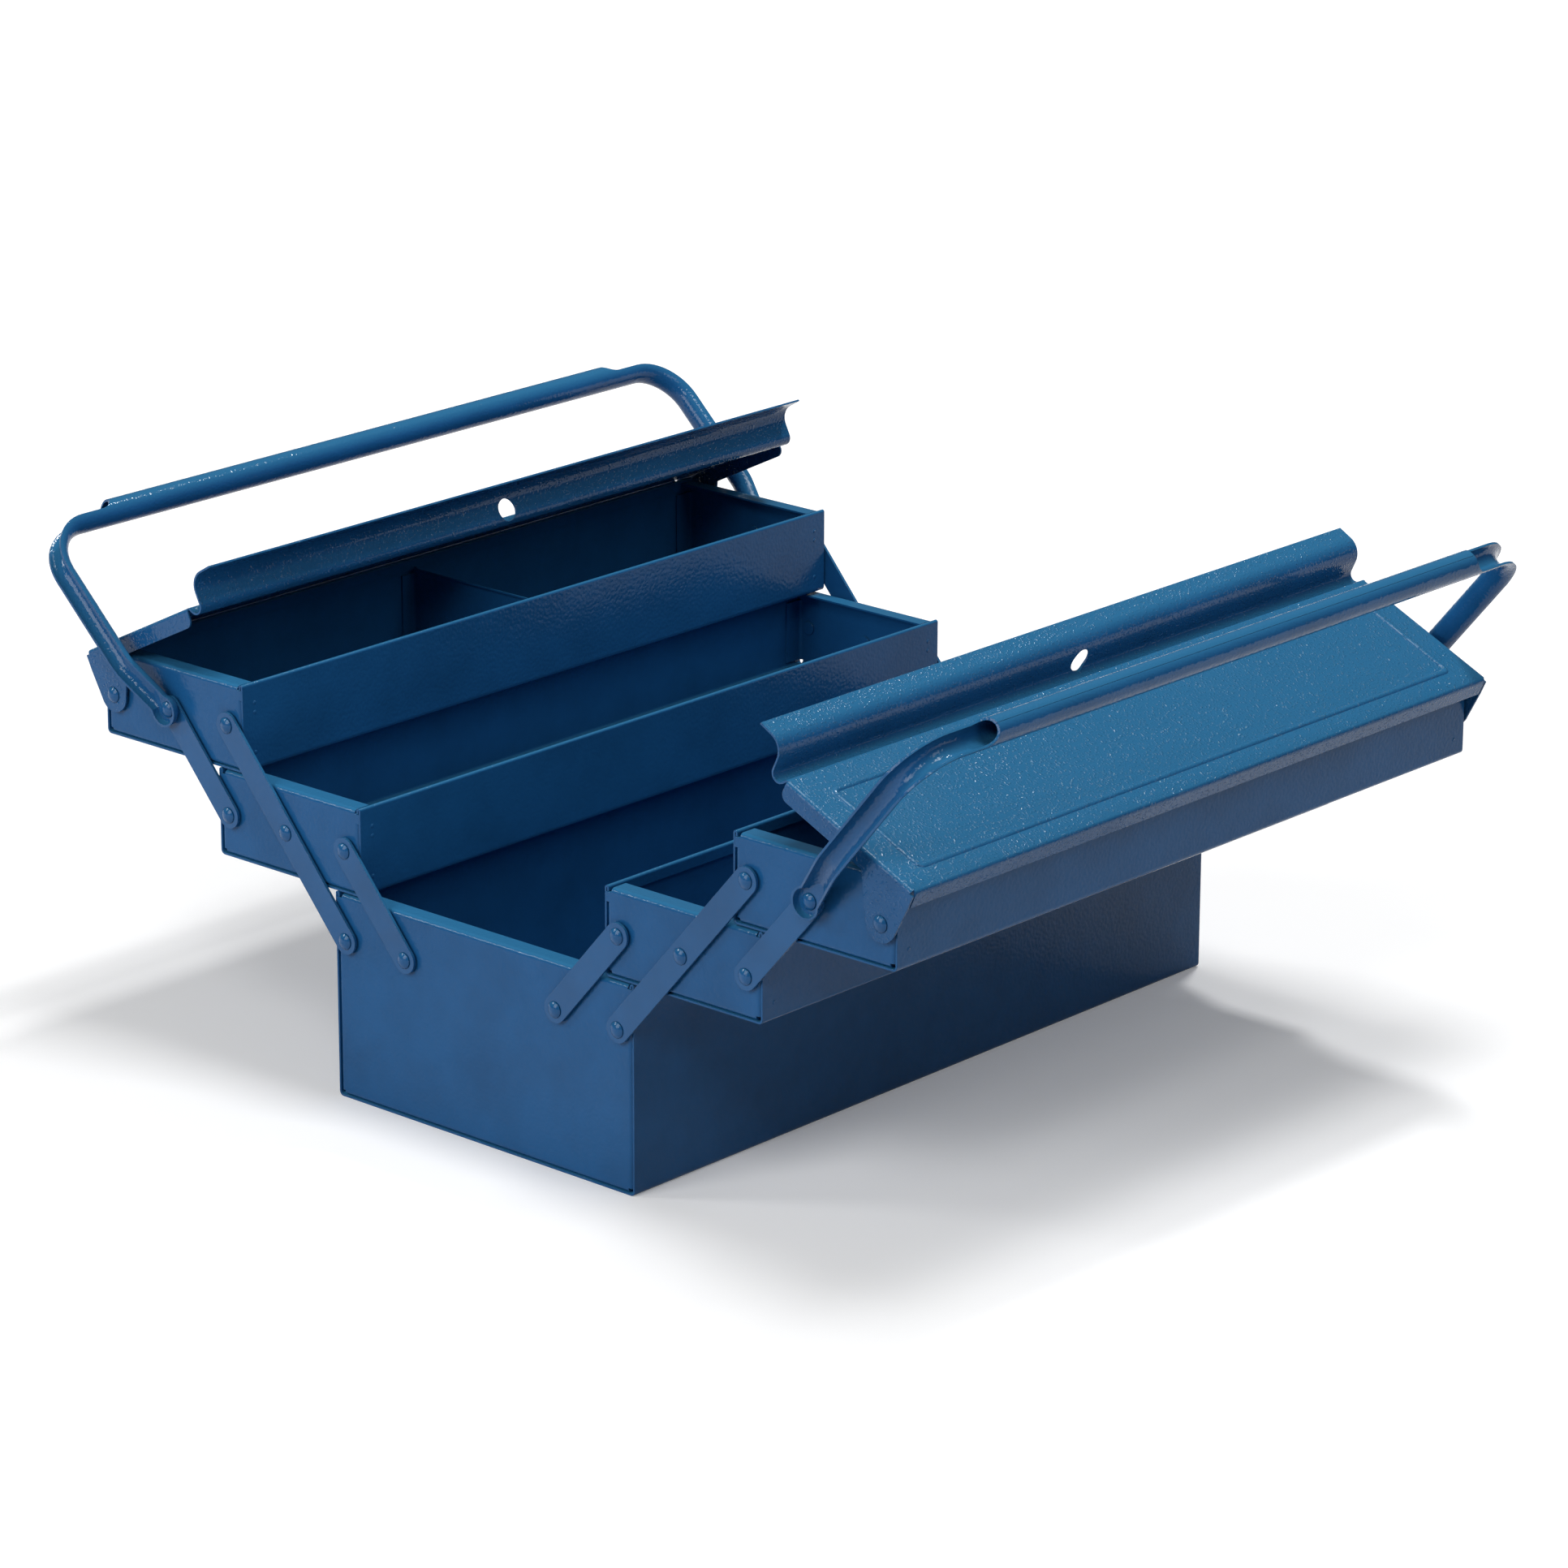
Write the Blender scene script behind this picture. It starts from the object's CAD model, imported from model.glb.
"""Cantilever tool box of folded steel sheet in glossy blue stoving enamel, fanned out on a pale floor.

The CAD solids are the sheet's real shapes. This script adds the enamel, the marks that the spot welder
leaves, and the light. Everything is in metres, X along the box, the front at -Y, Z up.
"""
import math

import bmesh
import bpy
from mathutils import Matrix, Vector


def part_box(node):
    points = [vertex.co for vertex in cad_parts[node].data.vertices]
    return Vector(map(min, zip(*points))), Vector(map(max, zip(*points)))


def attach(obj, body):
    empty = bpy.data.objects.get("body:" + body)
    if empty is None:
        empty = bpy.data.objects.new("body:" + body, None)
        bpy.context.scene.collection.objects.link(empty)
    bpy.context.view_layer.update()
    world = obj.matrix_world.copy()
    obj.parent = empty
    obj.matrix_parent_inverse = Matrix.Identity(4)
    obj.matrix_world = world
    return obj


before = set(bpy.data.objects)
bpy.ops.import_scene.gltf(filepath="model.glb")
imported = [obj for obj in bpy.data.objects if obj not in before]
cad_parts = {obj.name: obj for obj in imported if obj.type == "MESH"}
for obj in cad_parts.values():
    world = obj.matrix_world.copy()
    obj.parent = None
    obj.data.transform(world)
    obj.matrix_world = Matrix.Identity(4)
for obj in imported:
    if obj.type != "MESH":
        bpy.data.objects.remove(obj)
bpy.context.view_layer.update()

MM = 0.001

# Where ShaderNodeMix keeps its sockets for colours, which have the same names as those for numbers
MIX_A, MIX_B, MIX_RESULT = 6, 7, 2


# Helpers

def linear(hex_colour):
    """sRGB hex to the linear colour that a shader takes."""
    parts = [int(hex_colour[i:i + 2], 16) / 255 for i in (1, 3, 5)]
    return [c / 12.92 if c <= 0.04045 else ((c + 0.055) / 1.055) ** 2.4 for c in parts] + [1.0]


def per_metre(millimetres):
    """Noise scale for a pattern that repeats about once in this many millimetres."""
    return 1 / (millimetres * MM)


def add(tree, kind, links=None, inputs=None, **settings):
    """Adds a node with its settings, its unlinked values, and its links from other nodes' sockets."""
    made = tree.nodes.new(kind)
    for name, value in settings.items():
        setattr(made, name, value)
    for name, value in (inputs or {}).items():
        made.inputs[name].default_value = value
    for name, socket in (links or {}).items():
        tree.links.new(socket, made.inputs[name])
    return made


def blank_material(name):
    """A material whose node tree is still empty."""
    made = bpy.data.materials.new(name)
    made.use_nodes = True
    made.node_tree.nodes.clear()
    return made


def object_of(name, data):
    """A new object in the scene for a mesh, a lamp's data or a camera's data."""
    made = bpy.data.objects.new(name, data)
    bpy.context.scene.collection.objects.link(made)
    return made


# Enamel

# The blue of the film where it pools, where it is thin, and on faces that look up
POOLED_BLUE = "#184c7b"
THIN_BLUE = "#1b5487"
UPWARD_BLUE = "#29668e"

# Size of the pools, and the noise values that count as fully pooled and as fully thin
POOL_MM = 45
FULLY_POOLED = 0.3
FULLY_THIN = 0.62

# How far a face looks up, as the Z of its normal: where its blue starts to change, and where it is done
UPWARD_STARTS = 0.25
UPWARD_FULL = 0.85

# Long ripples that the spray leaves, and the radius to which the film rounds a cut edge
RIPPLE_MM = 14
RIPPLE_HEIGHT_MM = 0.04
EDGE_MM = 0.4

# The peel's noise values in a valley and on a crest, and how far the roughness changes there
VALLEY = 0.3
CREST = 0.7
VALLEY_SMOOTHER = 0.04
CREST_ROUGHER = 0.05

ENAMEL_IOR = 1.5


def stoving_enamel(name, peel_mm, peel_height_mm, roughness, reflection, grains_from=0.0, grains_to=1.0):
    """Sprayed and stoved alkyd enamel. The thick wet film draws together into an orange peel of
    shallow bumps, which breaks every highlight into glints. It runs round the sheet's cut edges,
    which shine, and is a little darker where it pools. Faces that look up took more of the spray and
    are lighter and greener. The peel is drawn coarser than the real one, about 1 mm, to show at all.
    Only the noise from grains_from to grains_to rises, so a narrow range gives separate grains.
    Real enamel has a reflection of 0.5. It is less here, because the white paper would grey the blue."""
    made = blank_material(name)
    tree = made.node_tree
    on_piece = add(tree, "ShaderNodeTexCoord").outputs
    place = on_piece["Object"]
    peel = add(tree, "ShaderNodeTexNoise", {"Vector": place},
               {"Scale": per_metre(peel_mm), "Detail": 0.5, "Roughness": 0.4})
    ripple = add(tree, "ShaderNodeTexNoise", {"Vector": place},
                 {"Scale": per_metre(RIPPLE_MM), "Detail": 1.0, "Roughness": 0.5})
    pool = add(tree, "ShaderNodeTexNoise", {"Vector": place},
               {"Scale": per_metre(POOL_MM), "Detail": 3.0, "Roughness": 0.6})

    tint = add(tree, "ShaderNodeValToRGB", {"Fac": pool.outputs["Fac"]})
    pooled, thin = tint.color_ramp.elements
    pooled.position = FULLY_POOLED
    pooled.color = linear(POOLED_BLUE)
    thin.position = FULLY_THIN
    thin.color = linear(THIN_BLUE)
    facing = add(tree, "ShaderNodeSeparateXYZ", {"Vector": on_piece["Normal"]})
    upward = add(tree, "ShaderNodeMapRange", {"Value": facing.outputs["Z"]},
                 {"From Min": UPWARD_STARTS, "From Max": UPWARD_FULL, "To Min": 0.0, "To Max": 1.0})
    film = add(tree, "ShaderNodeMix", {"Factor": upward.outputs["Result"], MIX_A: tint.outputs["Color"]},
               {MIX_B: linear(UPWARD_BLUE)}, data_type="RGBA")

    sheen = add(tree, "ShaderNodeMapRange", {"Value": peel.outputs["Fac"]},
                {"From Min": VALLEY, "From Max": CREST,
                 "To Min": roughness - VALLEY_SMOOTHER, "To Max": roughness + CREST_ROUGHER})
    edge = add(tree, "ShaderNodeBevel", inputs={"Radius": EDGE_MM * MM}, samples=4)
    wave = add(tree, "ShaderNodeBump", {"Height": ripple.outputs["Fac"], "Normal": edge.outputs["Normal"]},
               {"Strength": 1.0, "Distance": RIPPLE_HEIGHT_MM * MM})
    rise = add(tree, "ShaderNodeMapRange", {"Value": peel.outputs["Fac"]},
               {"From Min": grains_from, "From Max": grains_to, "To Min": 0.0, "To Max": 1.0})
    bumps = add(tree, "ShaderNodeBump", {"Height": rise.outputs["Result"], "Normal": wave.outputs["Normal"]},
                {"Strength": 1.0, "Distance": peel_height_mm * MM})
    shader = add(tree, "ShaderNodeBsdfPrincipled",
                 {"Base Color": film.outputs[MIX_RESULT], "Roughness": sheen.outputs["Result"],
                  "Normal": bumps.outputs["Normal"]},
                 {"IOR": ENAMEL_IOR, "Metallic": 0.0, "Specular IOR Level": reflection})
    add(tree, "ShaderNodeOutputMaterial", {"Surface": shader.outputs["BSDF"]})
    return made


# Walls and panels: a close, shallow peel and broad, soft highlights
FOLDED_SHEET = stoving_enamel("stoving_enamel_on_folded_sheet", peel_mm=1.8, peel_height_mm=0.15,
                              roughness=0.19, reflection=0.15)
# Lids: separate fine grains, which sparkle
PRESSED_LID = stoving_enamel("stoving_enamel_on_pressed_lid", peel_mm=1.2, peel_height_mm=0.22,
                             roughness=0.1, reflection=0.19, grains_from=0.55, grains_to=0.8)
# Handles: a fine peel as glossy as the lids', with narrow bright streaks along the tube
ROLLED_HANDLE = stoving_enamel("stoving_enamel_on_rolled_handle", peel_mm=1.3, peel_height_mm=0.16,
                               roughness=0.1, reflection=0.22)
# Links and washers: a flatter peel, which mirrors the lamps in larger patches
FLAT_LINK = stoving_enamel("stoving_enamel_on_flat_links", peel_mm=2.4, peel_height_mm=0.07,
                           roughness=0.17, reflection=0.25)
# Rivets: an almost smooth film over their domes
RIVETED = stoving_enamel("stoving_enamel_on_rivets", peel_mm=2.5, peel_height_mm=0.04,
                         roughness=0.14, reflection=0.2)

# The finish that goes with a word in a node's name. Every other node is folded sheet.
FINISHES = {"lid": PRESSED_LID, "handle": ROLLED_HANDLE, "rivets": RIVETED, "link": FLAT_LINK,
            "washers": FLAT_LINK}

for node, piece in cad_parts.items():
    fitting = [finish for word, finish in FINISHES.items() if word in node]
    piece.data.materials.clear()
    piece.data.materials.append(fitting[0] if fitting else FOLDED_SHEET)


# Spot welds: the marks where the side flanges of each tray's end panels are welded to its long walls

# One mark is a dome of rings, at these shares of its radius. The widest ring sinks into the wall.
WELD_R = 1.3 * MM
WELD_HEIGHT = 0.22 * MM
WELD_SINK = 0.1 * MM
WELD_SIDES = 12
WELD_RINGS = (1.0, 0.72, 0.4)

# A column of marks at each corner: its distance from the tray's end, and the drops below the tray's top
WELD_FROM_END = 8 * MM
WELD_DROPS = (10.3 * MM, 15.3 * MM, 36 * MM)


def weld_dome(shape, centre, way):
    """Adds one low round dome to a mesh. It faces front where way is -1, and rear where it is 1."""
    turns = [2 * math.pi * k / WELD_SIDES for k in range(WELD_SIDES)]
    rings = []
    for share in WELD_RINGS:
        radius = share * WELD_R
        sink = WELD_SINK if share == WELD_RINGS[0] else 0
        lift = way * (WELD_HEIGHT * (1 - share ** 2) - sink)
        spots = [Vector((radius * math.cos(turn), lift, radius * math.sin(turn))) for turn in turns]
        rings.append([shape.verts.new(Vector(centre) + spot) for spot in spots])
    for outer, inner in zip(rings, rings[1:]):
        for k in range(WELD_SIDES):
            after = (k + 1) % WELD_SIDES
            shape.faces.new((outer[k], outer[after], inner[after], inner[k]))
    shape.faces.new(rings[-1])
    shape.faces.new(rings[0][::-1])


def weld_marks(name, body, marks):
    """One piece of all the domes on a tray, from their centres and the ways they face."""
    shape = bmesh.new()
    for centre, way in marks:
        weld_dome(shape, centre, way)
    bmesh.ops.recalc_face_normals(shape, faces=shape.faces)
    mesh = bpy.data.meshes.new(name)
    shape.to_mesh(mesh)
    shape.free()
    for face in mesh.polygons:
        face.use_smooth = True
    mesh.materials.append(FOLDED_SHEET)
    piece = object_of(name, mesh)
    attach(piece, body)


for tray in ("front_mid", "front_upper", "rear_mid", "rear_upper"):
    low, high = (Vector(corner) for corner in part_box(tray + "_body"))
    marks = [((x, wall, high.z - drop), way)
             for wall, way in ((low.y, -1), (high.y, 1))
             for x in (low.x + WELD_FROM_END, high.x - WELD_FROM_END)
             for drop in WELD_DROPS]
    weld_marks(tray + "_weld_marks", tray + "_tray", marks)


# Floor

FLOOR_REACH = 15

# The paper's colour in the light that it throws back, and as the eye sees it
PAPER_BOUNCED = "#c4c4c4"
PAPER_SEEN = "#f6f6f6"

# The paper's uneven fibres, drawn coarser than real ones, and how high they stand
FIBRE_MM = 6
TOOTH_MM = 0.1

# The paper's own glow: how strong it is near the box, and how far off it starts to rise and is full
GLOW_NEAR = 0.14
GLOW_RISES = 0.6
GLOW_FULL = 2.0


def backdrop_paper(name):
    """Matt backdrop paper, which keeps the box's shadow. It is greyer in the light that it throws back
    at the box. The eye and the enamel's reflections see it white, with a glow of its own, which rises
    where the lamps don't reach."""
    made = blank_material(name)
    tree = made.node_tree
    path = add(tree, "ShaderNodeLightPath").outputs
    mirrored = add(tree, "ShaderNodeMath", {0: path["Is Glossy Ray"], 1: path["Is Transmission Ray"]},
                   operation="MAXIMUM")
    looked_at = add(tree, "ShaderNodeMath", {0: path["Is Camera Ray"], 1: mirrored.outputs[0]},
                    operation="MAXIMUM")
    place = add(tree, "ShaderNodeTexCoord").outputs["Object"]
    distance = add(tree, "ShaderNodeVectorMath", {0: place}, operation="LENGTH")
    fibre = add(tree, "ShaderNodeTexNoise", {"Vector": place}, {"Scale": per_metre(FIBRE_MM), "Detail": 3.0})
    tooth = add(tree, "ShaderNodeBump", {"Height": fibre.outputs["Fac"]},
                {"Strength": 0.1, "Distance": TOOTH_MM * MM})
    glow = add(tree, "ShaderNodeMapRange", {"Value": distance.outputs["Value"]},
               {"From Min": GLOW_RISES, "From Max": GLOW_FULL, "To Min": GLOW_NEAR, "To Max": 1.0})
    strength = add(tree, "ShaderNodeMath", {0: glow.outputs["Result"], 1: looked_at.outputs[0]},
                   operation="MULTIPLY")
    colour = add(tree, "ShaderNodeMix", {"Factor": looked_at.outputs[0]},
                 {MIX_A: linear(PAPER_BOUNCED), MIX_B: linear(PAPER_SEEN)}, data_type="RGBA")
    matt = add(tree, "ShaderNodeBsdfDiffuse",
               {"Color": colour.outputs[MIX_RESULT], "Normal": tooth.outputs["Normal"]})
    lit = add(tree, "ShaderNodeEmission", {"Strength": strength.outputs[0]})
    both = add(tree, "ShaderNodeAddShader", {0: matt.outputs[0], 1: lit.outputs[0]})
    add(tree, "ShaderNodeOutputMaterial", {"Surface": both.outputs[0]})
    return made


def floor(reach):
    """A square of paper under the box, which reaches this far from the middle to each side."""
    mesh = bpy.data.meshes.new("floor")
    mesh.from_pydata([(-reach, -reach, 0), (reach, -reach, 0), (reach, reach, 0), (-reach, reach, 0)],
                     [], [(0, 1, 2, 3)])
    mesh.materials.append(backdrop_paper("matt_backdrop_paper"))
    made = object_of("floor", mesh)


floor(FLOOR_REACH)


# Light and camera

# The middle of the box, which every lamp is turned to
AIM = (0, 0, 0.15)
SKY_STRENGTH = 0.08

# The width of the camera's sensor, and how far off the camera still sees the floor
SENSOR_MM = 36
FURTHEST_SEEN = 50


def studio_sky(strength):
    """Even white light from all round, faint enough to leave the insides dark."""
    world = bpy.data.worlds.new("studio")
    bpy.context.scene.world = world
    world.use_nodes = True
    background = world.node_tree.nodes["Background"].inputs
    background["Color"].default_value = linear("#ffffff")
    background["Strength"].default_value = strength


def softbox(name, place, size, power):
    """A square lamp that is turned to the middle of the box. Its power is in watts."""
    data = bpy.data.lights.new(name, "AREA")
    data.shape = "SQUARE"
    data.size = size
    data.energy = power
    made = object_of(name, data)
    made.location = place
    made.rotation_euler = (Vector(AIM) - Vector(place)).to_track_quat("-Z", "Y").to_euler()


def camera(place, heading, dip, roll, lens_mm):
    """Camera at the photograph's viewing angle. Its heading is counted from X towards Y, its dip is
    down from level, and these and its roll are in degrees."""
    heading, dip, roll = (math.radians(angle) for angle in (heading, dip, roll))
    forward = Vector((math.cos(dip) * math.cos(heading), math.cos(dip) * math.sin(heading), -math.sin(dip)))
    right = forward.cross(Vector((0, 0, 1))).normalized()
    up = right.cross(forward)
    turned_right = right * math.cos(roll) + up * math.sin(roll)
    turned_up = up * math.cos(roll) - right * math.sin(roll)
    data = bpy.data.cameras.new("camera")
    data.sensor_width = SENSOR_MM
    data.lens = lens_mm
    data.clip_end = FURTHEST_SEEN
    made = object_of("camera", data)
    turn = Matrix((turned_right, turned_up, -forward)).transposed()
    made.matrix_world = Matrix.Translation(place) @ turn.to_4x4()
    bpy.context.scene.camera = made


# The small lamp at the right gives the lids their glints, and the large one at the left lights the near end
studio_sky(SKY_STRENGTH)
softbox("overhead", place=(0.1, -0.3, 2.1), size=0.7, power=19)
softbox("right", place=(0.86, 0.15, 1.85), size=0.22, power=14)
softbox("left", place=(-2.3, 0.3, 1.1), size=1.2, power=26)
softbox("back_left", place=(-1.35, 1.4, 1.15), size=0.35, power=8)
softbox("front_left", place=(-1.55, -1.05, 1.75), size=0.6, power=10)
softbox("front", place=(0.2, -2.0, 1.6), size=1.0, power=9)
camera(place=(-2.180452, -1.949268, 1.098176), heading=41.779, dip=18.301, roll=0.179, lens_mm=141.27)
bpy.context.scene.view_settings.view_transform = "Standard"
